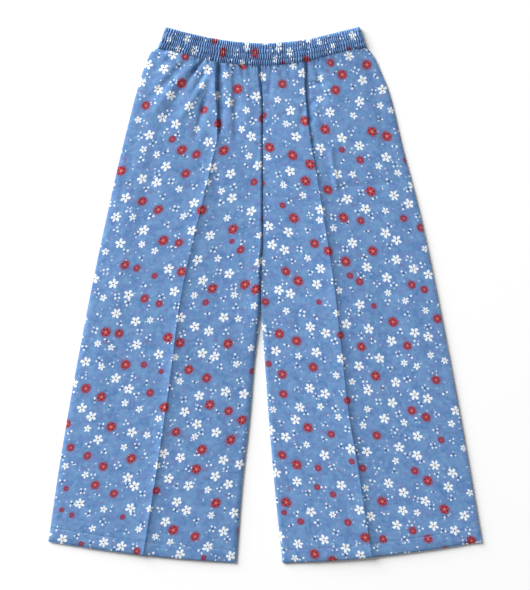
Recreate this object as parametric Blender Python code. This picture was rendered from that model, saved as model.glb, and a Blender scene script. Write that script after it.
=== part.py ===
"""Wide-leg palazzo pants with a gathered elastic waistband, laid flat on their back.

The waist points to +Y and the hems to -Y. Z = 0 is the surface that the back panels lie on, and the
origin is under the middle of the whole garment. Lengths in the tables are millimetres: "across" runs
along X, and "down" is the distance below the highest point of the waistband. The wearer's right leg
lies at -X, on the left of somebody who looks down at the front.

Every leg panel is a wall through sections that run from its inner edge (centre seam, then inseam) over
the pressed crease to its side seam. Where two layers meet, both walls roll over towards each other.
"""

import math
from collections import namedtuple

import bmesh
import bpy
import numpy as np

MM = 0.001

# ---------------------------------------------------------------- driving dimensions, millimetres
FULL_LENGTH = 858.0  # highest point of the waistband to the lowest hem corner
CROTCH = 394.0  # down to where the centre seam ends and the inseams begin
CLOTH = 1.2  # wall of one layer of the leg panels
EDGE_RADIUS = 1.3  # how the middle of the wall rolls over at the side seam and the inseam
SEAM_GAP = 0.3  # between two pieces that are sewn together
HEM_DEPTH = 22.5  # the hem is turned up inside by this much
HEM_EXTRA = 0.4  # and makes the wall this much thicker there

BACK_MIDDLE = CLOTH / 2  # height of the middle of the back wall
FRONT_EDGE = BACK_MIDDLE + 2 * EDGE_RADIUS  # middle of the front wall beside the side seam
LOWEST_FRONT = 2.2  # the middle of the front wall never sinks below this

# How the front stands above its edges
LOFT_AT_BAND = 1.6
LOFT_BELOW = 0.9
LOFT_SETTLES = 120.0  # the loft goes from one to the other in this distance
BULGE = 0.9  # the fullness that the gathers let out just below the waistband
BULGE_RISES = 14.0
BULGE_ENDS = 150.0
SIDE_RISE = 34.0  # the loft reaches its full height this far from the side seam
FOLDS_RISE = 14.0  # the folds reach theirs this far from it
INSEAM_RISE = 26.0
FOLDS_AT_BAND = 0.35  # share of the folds left in the row that is sewn to the waistband
CENTRE_GROOVE = 1.7  # how far the centre seam pulls the cloth down
CENTRE_GROOVE_WIDTH = 5.0
CENTRE_TURN = math.radians(55)  # the panels roll over by this much where they meet at the centre

# The pressed crease falls away gently towards -X and steeply towards +X, into a shallow trough.
CREASE_GENTLE = 26.0
CREASE_STEEP = 4.0
TROUGH_SHARE = 0.5  # its depth as a share of the ridge
TROUGH_OFFSET = 9.0
TROUGH_WIDTH = 8.0

# Waistband: elastic in a casing that is gathered on it
BAND_WALL = 2.2
BAND_RADIUS = 1.5  # how the casing folds over at its two ends
BAND_RIBS = 96  # gathers across the front
RIB_HEIGHT = 0.9
RIB_WANDER = 0.012  # of a station, sideways
BACK_STEPS = 32

# ---------------------------------------------------------------- tables, millimetres
Point = namedtuple("Point", "down across")
BandStation = namedtuple("BandStation", "top_across top_down seam_across seam_down")
BandRow = namedtuple("BandRow", "drop rounding rib_share")
Leg = namedtuple("Leg", "name side stations crease crease_at_hem inseam side_seam hem")
Fold = namedtuple("Fold", "leg start end depth_start depth_end half_width")
CreaseHeight = namedtuple("CreaseHeight", "down ridge")

# Nine stations along the waistband, from the wearer's right end to the left one: the folded top edge,
# and the seam to the leg panels below it.
BAND = (
    BandStation(-159, 1, -172, 34),
    BandStation(-120, 12, -130, 44.5),
    BandStation(-82, 20.5, -88, 55),
    BandStation(-43, 26, -46, 61),
    BandStation(-5, 28, -5, 63),
    BandStation(34, 26, 37, 60.5),
    BandStation(72, 20.5, 78, 52.5),
    BandStation(110, 11, 120, 42),
    BandStation(151, 0, 162, 32),
)
# Rows from the folded top edge (drop 0) to the seam (drop 1): how far the outside rounds off there,
# and how much of the ribs' height is left.
BAND_ROWS = (
    BandRow(0.0, 0.45, 0.55),
    BandRow(0.06, 0.0, 0.8),
    BandRow(0.36, 0.0, 1.0),
    BandRow(0.64, 0.0, 1.0),
    BandRow(0.94, 0.0, 0.8),
    BandRow(1.0, 0.2, 0.55),
)
CENTRE = -5.0  # across of the centre front and centre back seams

# For each leg: where the centre seam, the pressed crease and the side seam meet the waistband, in
# stations; then each of these lines down the leg; then the hem from its inner to its outer corner.
RIGHT_LEG = Leg(
    name="right",
    side=-1,
    stations=(4.0, 2.32, 0.0),
    crease=(Point(166, -76), Point(224, -88), Point(342, -115), Point(438, -136), Point(565, -153),
            Point(704, -173)),
    crease_at_hem=-195.0,
    inseam=(Point(486, -11), Point(534, -16), Point(630, -24), Point(726, -35)),
    side_seam=(Point(40, -181), Point(51, -187), Point(77, -197), Point(104, -205), Point(198, -229),
               Point(294, -251), Point(483, -290), Point(698, -328)),
    hem=(Point(858, -46), Point(850, -152), Point(839, -248), Point(824, -346.5)),
)
LEFT_LEG = Leg(
    name="left",
    side=1,
    stations=(4.0, 5.69, 8.0),
    crease=(Point(139, 70), Point(229, 84), Point(321, 98), Point(422, 113), Point(520, 124),
            Point(621, 136), Point(690, 148), Point(772, 161)),
    crease_at_hem=173.0,
    inseam=(Point(486, -4), Point(534, 0), Point(630, 7), Point(726, 15)),
    side_seam=(Point(48, 174), Point(70, 184), Point(102, 197), Point(198, 221), Point(294, 246),
               Point(486, 286), Point(678, 321.5)),
    hem=(Point(857.5, 28), Point(854, 104), Point(847, 181), Point(837.5, 258), Point(824, 346.5)),
)

# Gathers and soft folds of the front. Each is a trough from its first point to its last, with its
# depth at either end and its half width.
FOLDS = (
    Fold("right", Point(50, -97), Point(84, -120), 2.2, 0.6, 4.0),
    Fold("right", Point(57, -86), Point(120, -123), 1.4, 0.8, 6.5),
    Fold("right", Point(56, -75), Point(172, -76), 3.0, 1.4, 3.2),
    Fold("right", Point(60, -56), Point(120, -58), 2.0, 0.3, 3.5),
    Fold("right", Point(105, -54), Point(172, -50), 0.7, 0.5, 9.0),
    Fold("right", Point(61, -31), Point(84, -28), 1.6, 0.3, 3.2),
    Fold("right", Point(62, -14), Point(96, -9), 1.6, 0.3, 3.2),
    Fold("right", Point(150, -150), Point(330, -205), 0.2, 0.7, 16.0),
    Fold("right", Point(420, -210), Point(700, -265), 0.6, 0.4, 20.0),
    Fold("left", Point(61, 18), Point(84, 17), 1.4, 0.3, 3.2),
    Fold("left", Point(60, 38), Point(92, 40), 1.8, 0.3, 3.2),
    Fold("left", Point(56, 65), Point(150, 71), 3.0, 1.6, 3.0),
    Fold("left", Point(150, 71), Point(240, 86), 1.6, 0.2, 3.4),
    Fold("left", Point(100, 56), Point(180, 58), 0.8, 0.5, 8.0),
    Fold("left", Point(51, 84), Point(90, 87), 1.6, 0.4, 3.6),
    Fold("left", Point(45, 106), Point(100, 124), 1.2, 0.4, 6.0),
    Fold("left", Point(215, 105), Point(345, 117), 0.9, 0.5, 9.0),
    Fold("left", Point(430, 190), Point(720, 235), 0.5, 0.4, 20.0),
)
CREASE_HEIGHTS = (
    CreaseHeight(60, 0.2),
    CreaseHeight(110, 0.6),
    CreaseHeight(200, 1.5),
    CreaseHeight(400, 1.8),
    CreaseHeight(700, 1.7),
    CreaseHeight(858, 1.2),
)

# Rows of points, as shares of the way from the waistband to the hem. They are close together under the
# waistband, at the crotch and at the top of the hem.
FRONT_ROWS = (0.0, 0.005, 0.014, 0.028, 0.046, 0.07, 0.105, 0.15, 0.2, 0.26, 0.32, 0.375, 0.406, 0.4155,
              0.425, 0.44, 0.5, 0.57, 0.65, 0.73, 0.81, 0.89, 0.968, 0.974, 1.0)
BACK_ROWS = (0.0, 0.005, 0.014, 0.07, 0.14, 0.22, 0.32, 0.406, 0.4155, 0.425, 0.44, 0.52, 0.62, 0.72,
             0.82, 0.91, 0.968, 0.974, 1.0)
# Columns of points: 0 is the inner edge, 1 the pressed crease and 2 the side seam.
FRONT_COLUMNS = (0.0, 0.07, 0.15, 0.24, 0.33, 0.42, 0.51, 0.6, 0.69, 0.77, 0.84, 0.9, 0.95, 1.0, 1.05,
                 1.11, 1.18, 1.26, 1.34, 1.42, 1.5, 1.58, 1.66, 1.75, 1.85, 2.0)
BACK_COLUMNS = (0.0, 0.2, 0.4, 0.6, 0.8, 1.0, 1.18, 1.36, 1.54, 1.72, 1.88, 2.0)
ARC_STEPS = 3  # where a wall rolls over at its edge


# ---------------------------------------------------------------- curves
def mix(a, b, t):
    return a + (b - a) * t


def smooth_step(t):
    t = min(1.0, max(0.0, t))
    return t * t * (3 - 2 * t)


def bell(distance, half_width):
    return math.exp(-((distance / half_width) ** 2))


def unit(vector):
    return vector / np.linalg.norm(vector)


def monotone_curve(places, values):
    """A smooth curve through the values that doesn't overshoot between two of them."""
    x, y = np.array(places, float), np.array(values, float)
    step, slope = np.diff(x), np.diff(y) / np.diff(x)
    tangent = np.zeros(len(x))
    tangent[0], tangent[-1] = slope[0], slope[-1]
    for i in range(1, len(x) - 1):
        if slope[i - 1] * slope[i] > 0:
            before, after = 2 * step[i] + step[i - 1], step[i] + 2 * step[i - 1]
            tangent[i] = (before + after) / (before / slope[i - 1] + after / slope[i])

    def at(place):
        i = int(np.clip(np.searchsorted(x, place) - 1, 0, len(step) - 1))
        t = (place - x[i]) / step[i]
        from_first = y[i] * (1 + 2 * t) + tangent[i] * step[i] * t
        from_second = y[i + 1] * (3 - 2 * t) + tangent[i + 1] * step[i] * (t - 1)
        return from_first * (1 - t) ** 2 + from_second * t**2

    return at


BAND_CURVES = [monotone_curve(range(len(BAND)), values) for values in zip(*BAND)]
CREASE_RIDGE = monotone_curve(*zip(*CREASE_HEIGHTS))


def band_point(station, drop):
    """A point of the waistband: drop is 0 at its folded top edge and 1 at the seam below it."""
    top_across, top_down, seam_across, seam_down = (curve(station) for curve in BAND_CURVES)
    return np.array([mix(top_across, seam_across, drop), mix(top_down, seam_down, drop)])


# ---------------------------------------------------------------- the plan of a leg
class LegPlan:
    """Where the points of a leg's panels lie, seen from above, as (across, down)."""

    def __init__(self, leg):
        self.leg = leg
        self.off_centre = leg.side * SEAM_GAP / 2
        self.hem_down = monotone_curve([leg.side * p.across for p in leg.hem], [p.down for p in leg.hem])
        self.hem_across = (leg.hem[0].across, leg.crease_at_hem, leg.hem[-1].across)
        centre_seam = [Point(down, CENTRE + self.off_centre) for down in (CROTCH / 2, CROTCH)]
        self.lines = [self.line(0, centre_seam + list(leg.inseam)), self.line(1, leg.crease),
                      self.line(2, leg.side_seam)]

    def top(self, column):
        """The edge that is sewn to the waistband."""
        station = np.interp(column, (0, 1, 2), self.leg.stations)
        return band_point(station, 1.0) + (self.off_centre * max(0.0, 1 - column), SEAM_GAP)

    def hem(self, column):
        across = np.interp(column, (0, 1, 2), self.hem_across)
        return np.array([across, self.hem_down(self.leg.side * across)])

    def line(self, column, points):
        """The inner edge, the crease or the side seam, by its share of the way down."""
        places = [self.top(column), *(np.array([p.across, p.down]) for p in points), self.hem(column)]
        across = monotone_curve([p[1] for p in places], [p[0] for p in places])

        def at(row):
            down = mix(places[0][1], places[-1][1], row)
            return np.array([across(down), down])

        return at

    def point(self, column, row):
        """Blends the lines to either side with the top edge and the hem."""
        first = 0 if column <= 1 else 1
        share = column - first
        near, far = self.lines[first], self.lines[first + 1]
        between_lines = mix(near(row), far(row), share)
        between_ends = mix(self.top(column), self.hem(column), row)
        corners = mix(mix(near(0.0), far(0.0), share), mix(near(1.0), far(1.0), share), row)
        return between_lines + between_ends - corners


# ---------------------------------------------------------------- the height of the front
def fold_depth(fold, across, down):
    """How far a fold presses the cloth down at a place. It fades out past its two ends."""
    start = np.array([fold.start.across, fold.start.down])
    along = np.array([fold.end.across, fold.end.down]) - start
    length = np.linalg.norm(along)
    offset = np.array([across, down]) - start
    share = offset @ along / length**2
    aside = (along[0] * offset[1] - along[1] * offset[0]) / length
    beyond = max(0.0, share - 1, -share) * length
    depth = mix(fold.depth_start, fold.depth_end, min(1.0, max(0.0, share)))
    return depth * bell(aside, fold.half_width) * bell(beyond, 2.5 * fold.half_width)


def crease_height(aside, down):
    """The pressed crease at a distance to its +X side: a ridge with a gentle and a steep flank."""
    ridge = CREASE_RIDGE(down)
    if aside <= 0:
        return ridge * math.exp(aside / CREASE_GENTLE)
    trough = TROUGH_SHARE * bell(aside - TROUGH_OFFSET, TROUGH_WIDTH)
    return ridge * (math.exp(-aside / CREASE_STEEP) - trough)


def front_height(plan, row, place, from_inner, from_side):
    """Height of the middle of the front wall. The folds die out at the seams round the panel."""
    across, down = place
    below_band = down - plan.lines[1](0.0)[1]
    on_inseam = smooth_step((down - CROTCH + 30) / 60)
    loft = mix(LOFT_AT_BAND, LOFT_BELOW, smooth_step(below_band / LOFT_SETTLES))
    bulge = BULGE * smooth_step(below_band / BULGE_RISES)
    bulge *= smooth_step((BULGE_ENDS - below_band) / (BULGE_ENDS - 3 * BULGE_RISES))
    folds = sum(fold_depth(fold, across, down) for fold in FOLDS if fold.leg == plan.leg.name)
    shape = loft * smooth_step(from_side / SIDE_RISE) + bulge - folds
    shape += crease_height(across - plan.lines[1](row)[0], down)
    shape *= mix(1.0, smooth_step(from_inner / INSEAM_RISE), on_inseam)
    shape -= CENTRE_GROOVE * bell(from_inner, CENTRE_GROOVE_WIDTH) * (1 - on_inseam)
    shape *= mix(FOLDS_AT_BAND, 1.0, smooth_step(below_band / BULGE_RISES))
    return max(LOWEST_FRONT, FRONT_EDGE + shape * smooth_step(from_side / FOLDS_RISE))


def back_height(_plan, _row, _place, _from_inner, _from_side):
    return BACK_MIDDLE


# ---------------------------------------------------------------- walls from sections
def to_world(point):
    across, down, height = point
    return (across * MM, (FULL_LENGTH / 2 - down) * MM, height * MM)


def wall_pair(middle, normal, wall, extra=0.0):
    """The outer and the inner point of a wall, either side of a point in its middle."""
    return to_world(middle + normal * wall / 2), to_world(middle - normal * (wall / 2 + extra))


def rolled_edge(centre, outward, radius, angles):
    """The middle of a wall where it rolls over, as points and normals. Angles count from level."""
    normals = [np.array([*(outward * math.cos(angle)), math.sin(angle)]) for angle in angles]
    return [(centre + radius * normal, normal) for normal in normals]


def panel_section(plan, row, columns, height, facing):
    """One section across a panel, as pairs of points. Facing is 1 for the front and -1 for the back."""
    inner_edge, side_edge = plan.point(0.0, row), plan.point(2.0, row)
    crease = plan.point(1.0, row)
    meeting = math.asin(SEAM_GAP / 2 / EDGE_RADIUS)
    inner_turn = mix(CENTRE_TURN, meeting, smooth_step((inner_edge[1] - CROTCH + 12) / 24))
    reach = EDGE_RADIUS + CLOTH / 2
    inner_inset, side_inset = reach * math.cos(inner_turn), reach * math.cos(meeting)
    first = inner_inset / np.linalg.norm(crease - inner_edge)
    last = 2 - side_inset / np.linalg.norm(side_edge - crease)

    places = [plan.point(np.interp(column, (0, 1, 2), (first, 1, last)), row) for column in columns]
    from_inner = [np.linalg.norm(p - inner_edge) - inner_inset for p in places]
    from_side = [np.linalg.norm(p - side_edge) - side_inset for p in places]
    heights = [height(plan, row, *at) for at in zip(places, from_inner, from_side)]
    along = np.concatenate([[0.0], np.cumsum([np.linalg.norm(b - a) for a, b in zip(places, places[1:])])])
    slopes = np.gradient(heights, along)
    slopes[0] = slopes[-1] = 0.0
    directions = [unit(b - a) for a, b in zip([places[0], *places[:-1]], [*places[1:], places[-1]])]
    hem = HEM_EXTRA if crease[1] > plan.point(1.0, 1.0)[1] - HEM_DEPTH else 0.0

    def edge(place, level, toward, turn):
        centre = np.array([*place, level - facing * EDGE_RADIUS])
        angles = facing * np.linspace(turn, math.pi / 2, ARC_STEPS, endpoint=False)
        rolled = rolled_edge(centre, unit(toward - place), EDGE_RADIUS, angles)
        return [wall_pair(middle, normal, CLOTH) for middle, normal in rolled]

    pairs = edge(places[0], heights[0], inner_edge, inner_turn)
    for k, place in enumerate(places):
        normal = facing * unit(np.array([*(-slopes[k] * directions[k]), 1.0]))
        extra = hem * smooth_step(min(from_inner[k], from_side[k]) / 12)
        pairs.append(wall_pair(np.array([*place, heights[k]]), normal, CLOTH, extra))
    return pairs + edge(places[-1], heights[-1], side_edge, meeting)[::-1]


def wall_object(name, sections, material, closed=False, inner_rows=None):
    """A wall as one closed solid, from sections of (outer, inner) points. Its inner side may keep only
    some of the sections, the first and the last among them. A closed one joins each section's ends."""
    rows, columns = len(sections), len(sections[0])
    inner_rows = inner_rows or range(rows)
    sides = [[[pair[0] for pair in section] for section in sections],
             [[pair[1] for pair in sections[r]] for r in inner_rows]]
    shape = bmesh.new()
    outer, inner = [[[shape.verts.new(point) for point in line] for line in side] for side in sides]
    rims = [[outer[0], inner[0]], [outer[-1], inner[-1]]]
    for grid in (outer, inner, *rims):
        for upper, lower in zip(grid, grid[1:]):
            for c in range(columns if closed else columns - 1):
                after = (c + 1) % columns
                shape.faces.new((upper[c], upper[after], lower[after], lower[c]))
    if not closed:
        for c in (0, -1):
            for r in range(rows - 1):
                shape.faces.new((outer[r][c], outer[r + 1][c], inner[r + 1][c], inner[r][c]))
    bmesh.ops.triangulate(shape, faces=shape.faces[:], quad_method="SHORT_EDGE")
    bmesh.ops.recalc_face_normals(shape, faces=shape.faces[:])
    mesh = bpy.data.meshes.new(name)
    shape.to_mesh(mesh)
    shape.free()
    mesh.shade_smooth()
    mesh.set_sharp_from_angle(angle=math.radians(50))
    mesh.materials.append(material)
    bpy.context.scene.collection.objects.link(bpy.data.objects.new(name, mesh))


# ---------------------------------------------------------------- pieces
def cloth_material(name, colour, roughness):
    material = bpy.data.materials.new(name)
    material.use_nodes = True
    shader = material.node_tree.nodes["Principled BSDF"]
    shader.inputs["Base Color"].default_value = (*colour, 1.0)
    shader.inputs["Roughness"].default_value = roughness
    shader.inputs["Metallic"].default_value = 0.0
    return material


def leg_panels(leg, material):
    """The front and the back panel of one leg."""
    plan = LegPlan(leg)
    front = [panel_section(plan, row, FRONT_COLUMNS, front_height, 1) for row in FRONT_ROWS]
    back = [panel_section(plan, row, BACK_COLUMNS, back_height, -1) for row in BACK_ROWS]
    wall_object(f"front_{leg.name}_leg", front, material)
    wall_object(f"back_{leg.name}_leg", back, material)


def band_section(row):
    """One turn round the waistband at a drop: along the front, over an end, back, over the other."""
    last_station = len(BAND) - 1
    station_length = BAND[1].top_across - BAND[0].top_across
    inset = (BAND_RADIUS + BAND_WALL / 2) / station_length
    ends = (inset, last_station - inset)
    back_middle = BAND_WALL / 2
    turn_height = back_middle + BAND_RADIUS
    upward = np.array([0.0, 0.0, 1.0])

    def end_pairs(here, edge, angles):
        centre = np.array([*band_point(here, row.drop), turn_height])
        outward = unit(band_point(edge, row.drop) - centre[:2])
        rolled = rolled_edge(centre, outward, BAND_RADIUS, angles)
        return [wall_pair(middle, normal, BAND_WALL) for middle, normal in rolled]

    pairs = []
    for i, station in enumerate(np.linspace(*ends, 2 * BAND_RIBS + 1)):
        wander = RIB_WANDER * math.sin(1.7 * i + 9.0 * row.drop) * (0 < i < 2 * BAND_RIBS)
        middle = np.array([*band_point(station + wander, row.drop), turn_height + BAND_RADIUS])
        outer, inner = wall_pair(middle, upward, BAND_WALL)
        raised = RIB_HEIGHT * row.rib_share * (i % 2) - row.rounding
        pairs.append(((*outer[:2], outer[2] + raised * MM), inner))
    turn_down = np.linspace(math.pi / 2, -math.pi / 2, 2 * ARC_STEPS + 1)[1:-1]
    pairs += end_pairs(ends[1], last_station, turn_down)
    for station in np.linspace(*ends[::-1], BACK_STEPS + 1):
        middle = np.array([*band_point(station, row.drop), back_middle])
        outer, inner = wall_pair(middle, -upward, BAND_WALL)
        pairs.append(((*outer[:2], outer[2] + row.rounding / 2 * MM), inner))
    return pairs + end_pairs(ends[0], 0.0, turn_down[::-1])


def waistband(material):
    """A strip folded over the elastic and closed into a loop: ribbed in front, plain behind."""
    sections = [band_section(row) for row in BAND_ROWS]
    wall_object("waistband", sections, material, closed=True, inner_rows=(0, len(BAND_ROWS) - 1))


def main():
    for item in list(bpy.data.objects):
        bpy.data.objects.remove(item)
    for leg in (RIGHT_LEG, LEFT_LEG):
        leg_panels(leg, cloth_material(f"printed_cotton_{leg.name}", (0.165, 0.301, 0.546), 0.85))
    waistband(cloth_material("gathered_casing", (0.120, 0.235, 0.440), 0.85))


main()
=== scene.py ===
"""Printed palazzo pants laid flat: the cloth, the gathered waistband and the sewing.

Every piece is a thin shell on the form of the solid it replaces. Tables are in millimetres: "across"
runs along X, and "down" is the distance below the highest point of the waistband. Meshes are made in
metres. Functions that take a column or a row take whole arrays of them.
"""

import math
from collections import namedtuple

import bmesh
import bpy
import numpy as np
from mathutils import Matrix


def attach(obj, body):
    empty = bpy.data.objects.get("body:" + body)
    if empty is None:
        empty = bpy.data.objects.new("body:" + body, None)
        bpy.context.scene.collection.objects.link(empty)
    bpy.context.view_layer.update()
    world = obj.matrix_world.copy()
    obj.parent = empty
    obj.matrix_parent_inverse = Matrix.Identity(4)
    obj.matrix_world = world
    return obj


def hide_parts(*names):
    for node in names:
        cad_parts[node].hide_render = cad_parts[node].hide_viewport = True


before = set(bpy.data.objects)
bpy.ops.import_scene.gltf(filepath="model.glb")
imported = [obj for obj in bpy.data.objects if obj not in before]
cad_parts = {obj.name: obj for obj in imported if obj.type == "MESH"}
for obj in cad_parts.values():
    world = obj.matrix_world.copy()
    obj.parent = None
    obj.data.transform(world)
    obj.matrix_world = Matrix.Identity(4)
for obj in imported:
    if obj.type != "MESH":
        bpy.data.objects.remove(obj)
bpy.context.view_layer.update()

MM = 0.001

# ---------------------------------------------------------------- sizes of the garment, millimetres
FULL_LENGTH = 858.0
LEG_LENGTH = 797.0  # along the pressed crease, from the waistband to the hem
CROTCH = 394.0
SHELL = 0.6  # wall of the shells, which follow the outer side of the solids
SEAM_GAP = 0.1
SEAM_HEIGHT = 1.9  # where the front and back layers are sewn to each other
CENTRE_HEIGHTS = {1: 0.85, -1: 0.7}  # the centre seams of the front and of the back
FRONT_FACE = 3.8  # outer side of the front layer beside its seams
LOWEST_FRONT = 2.3

# How the front stands above its edges
LOFT_AT_BAND = 2.2
LOFT_BELOW = 0.9
LOFT_SETTLES = 220.0
BROW = {"right": 3.2, "left": 2.3}  # the gathers stand up at the waistband
BROW_LENGTH = 14.0  # and fall away from it
BROW_EDGE = (0.5, 3.0)
GATHERS = (0.8, 6.4, 7.0)  # height, spacing and reach below the waistband of the small gathers
SEAM_PULL = (0.2, 11.0, 4.0)  # height, spacing and reach of the puckers along the centre seam
SIDE_RISE = 34.0
FOLDS_RISE = 14.0
FOLDS_FADE = 14.0
INSEAM_RISE = 50.0
FOLDS_AT_BAND = 0.75
SIDE_ROLL = 10.5  # how far in from the side seam its panels begin to roll over
SIDE_FALL = 1.6
SIDE_LIFT = {"right": 0.0, "left": 0.9}  # how much higher the side seams lie below the hips
# Where changes down the garment begin, and over what length
BELOW_HIPS = (150.0, 200.0)
LIP_CHANGES = (200.0, 80.0)
PAST_CROTCH = (CROTCH - 30.0, 60.0)
LEGS_PART = (CROTCH + 6.0, 40.0)
SEAM_LIFTS = (CROTCH + 46.0, 50.0)  # from the height of the centre seam to that of the inseam

OVERLAP_LIP = (0.6, 0.9, 8.0)  # the wearer's right side stands proud at the centre seam
UNDERLAP_DIP = (2.1, 26.0)  # and the left side dips beside it
CROTCH_HUMP = 3.0
CROTCH_HUMP_AT = 440.0
CROTCH_HUMP_REACH = (65.0, 16.0)  # along the inseam and across it
INNER_CREST = (0.4, 9.5)
EDGE_TURN = math.radians(2)
ARC_STEPS = 10
SHARP_ANGLE = math.radians(60)  # faces that meet more steeply are shaded as a crease

# The pressed crease
CREASE_LIFT = 8.0
CREASE_SLOW = 60.0
CREASE_FALL = 6.0
CREASE_STEEP = 1.4
STEEP_SHARE = 0.1

# Hem: turned up inside and stitched
HEM_STITCH = 21.0  # from the lower edge
HEM_ROLL = (11.0, 1.1)  # length and drop of the long slope towards the edge
HEM_EDGE = (2.2, 0.7)  # and of the edge itself
HEM_DENT = 0.45
BACK_HEM_DENT = 0.6
BACK_HEM_EDGE = (2.0, 0.5)
BACK_HIGHEST = 0.9
HEM_DENT_WIDTH = 1.3
PUCKER_LENGTH = 8.5
PUCKER = 0.16
PUCKER_REACH = 6.0

# Waistband
BAND_DEPTH = 34.0
BAND_BACK = 0.0  # outer side of its back layer
BAND_FRONT = 3.7  # outer side of its front layer, in the valleys between the ribs
BAND_WALL = 0.8
BAND_END_ROLL = 3.8
BAND_RIBS = 96
BAND_LINING = 0.4  # how much thicker the wall is under the ribs
BAND_TOP_DROP = 1.2  # how far the front rounds off towards the folded top edge
BAND_BACK_RISE = 0.8  # and the back
RIB_HEIGHT = 3.7
RIB_HELD = 0.68  # share of their height that the ribs keep at a row of stitching
RIB_SHIFTS = np.array([0.0, 0.27, 0.1, 0.42])  # of a rib, sideways, in each stretch
RIB_SINK = 0.25  # share of their height that they lose at the seam to the legs
RIB_SINK_REACH = 2.5  # and how far up from it that fades
BAND_ARCH = 1.8  # how far the elastic makes the front of the band swell between its edges
RIB_COLUMNS = 8
BACK_RIB_COLUMNS = 4
BACK_RIB_HEIGHT = 0.5
ELASTIC_ROWS = 4  # stretches between the rows of stitching through the elastic
SEWN_AT = [row / ELASTIC_ROWS for row in range(1, ELASTIC_ROWS)]  # shares of the band's depth
ELASTIC_DENT = 0.5
BAND_ROWS = 50
BAND_EDGE = 3.0  # rounding of the folded top edge
GATHER_RATIO = 1.4  # cloth in the waistband, for each length of waistband

# ---------------------------------------------------------------- tables, millimetres
Point = namedtuple("Point", "down across")
BandStation = namedtuple("BandStation", "top_across top_down seam_across seam_down")
Leg = namedtuple("Leg", "name side stations crease crease_at_hem inseam side_seam hem inner_edge ridge")
# A trough from one point to another. A depth below 0 is a ridge. One that leans is steep towards -X
# and that many times wider towards +X.
Fold = namedtuple("Fold", "from_down from_across to_down to_across depth_start depth_end half_width lean",
                  defaults=(1.0,))
# How far in an inner edge begins to roll over, and whether it does so round (1) or evenly (2)
EdgeRoll = namedtuple("EdgeRoll", "down roll fall")
# Height of the pressed crease, and the share of it that rises close beside the crease
CreaseHeight = namedtuple("CreaseHeight", "down height lift")
Stretch = namedtuple("Stretch", "end spacing")

BAND = (
    BandStation(-159, 0.5, -172, 34),
    BandStation(-120, 10.8, -130, 44.5),
    BandStation(-82, 18.8, -88, 55),
    BandStation(-43, 24.4, -46, 61),
    BandStation(-5, 26.5, -5, 63),
    BandStation(34, 24.5, 37, 60.5),
    BandStation(72, 19.1, 78, 52.5),
    BandStation(110, 10.2, 120, 42),
    BandStation(151, 0, 162, 32),
)
CENTRE_SEAM = (Point(76, -7.4), Point(88, -6.2), Point(101, -5.2), Point(115, -3.9), Point(140, -3.4),
               Point(352, -3.6), Point(372, -6.0))

RIGHT_LEG = Leg(
    name="right",
    side=-1,
    stations=(3.93, 2.32, 0.0),
    crease=(Point(166, -75.5), Point(224, -86.8), Point(342, -115), Point(438, -135.6),
            Point(565, -152.2), Point(704, -172.3)),
    crease_at_hem=-195.0,
    inseam=(Point(394, -6.4), Point(442, -6.6), Point(458, -7.5), Point(474, -9.4), Point(492, -11.4),
            Point(534, -16.8), Point(630, -25), Point(726, -36)),
    side_seam=(Point(40, -181), Point(51, -187), Point(77, -197), Point(104, -205), Point(198, -229),
               Point(294, -251), Point(483, -290), Point(698, -328)),
    hem=(Point(857.4, -46), Point(849.3, -152), Point(838.3, -248), Point(823.6, -346.5)),
    inner_edge=(EdgeRoll(60, 5.4, 1.1), EdgeRoll(200, 5, 1.1), EdgeRoll(350, 4.5, 1.1),
                EdgeRoll(394, 5, 1.1), EdgeRoll(440, 6.5, 1.1), EdgeRoll(560, 8.5, 2),
                EdgeRoll(858, 8.5, 2)),
    ridge=(CreaseHeight(60, 0.2, 0.8), CreaseHeight(120, 0.8, 0.8), CreaseHeight(190, 2.4, 0.85),
           CreaseHeight(290, 2.3, 0.7), CreaseHeight(330, 2.2, 0.35), CreaseHeight(440, 2.3, 0.4),
           CreaseHeight(500, 2.7, 0.85), CreaseHeight(690, 2.8, 0.85), CreaseHeight(760, 3.1, 0.5),
           CreaseHeight(858, 2.2, 0.5)),
)
LEFT_LEG = Leg(
    name="left",
    side=1,
    stations=(3.93, 5.69, 8.0),
    crease=(Point(139, 68), Point(229, 81.2), Point(321, 96.2), Point(422, 111.5), Point(520, 122.2),
            Point(621, 134), Point(690, 145.9), Point(772, 158.8)),
    crease_at_hem=171.0,
    inseam=(Point(394, -6.2), Point(442, -6.2), Point(458, -5.7), Point(474, -4.9), Point(492, -3.6),
            Point(534, -0.4), Point(630, 6.4), Point(726, 14.4)),
    side_seam=(Point(48, 174), Point(70, 184), Point(102, 197), Point(198, 221), Point(294, 246),
               Point(486, 286), Point(678, 321.5)),
    hem=(Point(857.5, 28), Point(854, 104), Point(847, 181), Point(837.5, 258), Point(824, 346.5)),
    inner_edge=(EdgeRoll(60, 2.2, 1), EdgeRoll(200, 1.6, 1), EdgeRoll(394, 1.2, 1), EdgeRoll(450, 1.4, 1),
                EdgeRoll(486, 4, 1.2), EdgeRoll(594, 6, 1.2), EdgeRoll(858, 6, 1.2)),
    ridge=(CreaseHeight(60, 0.2, 0.2), CreaseHeight(125, 1.4, 0.1), CreaseHeight(180, 3.2, 0.1),
           CreaseHeight(260, 3.2, 0.1), CreaseHeight(290, 3.5, 0.5), CreaseHeight(420, 3.5, 0.45),
           CreaseHeight(460, 3.4, 0.08), CreaseHeight(690, 4.0, 0.1), CreaseHeight(858, 3.0, 0.15)),
)

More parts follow.
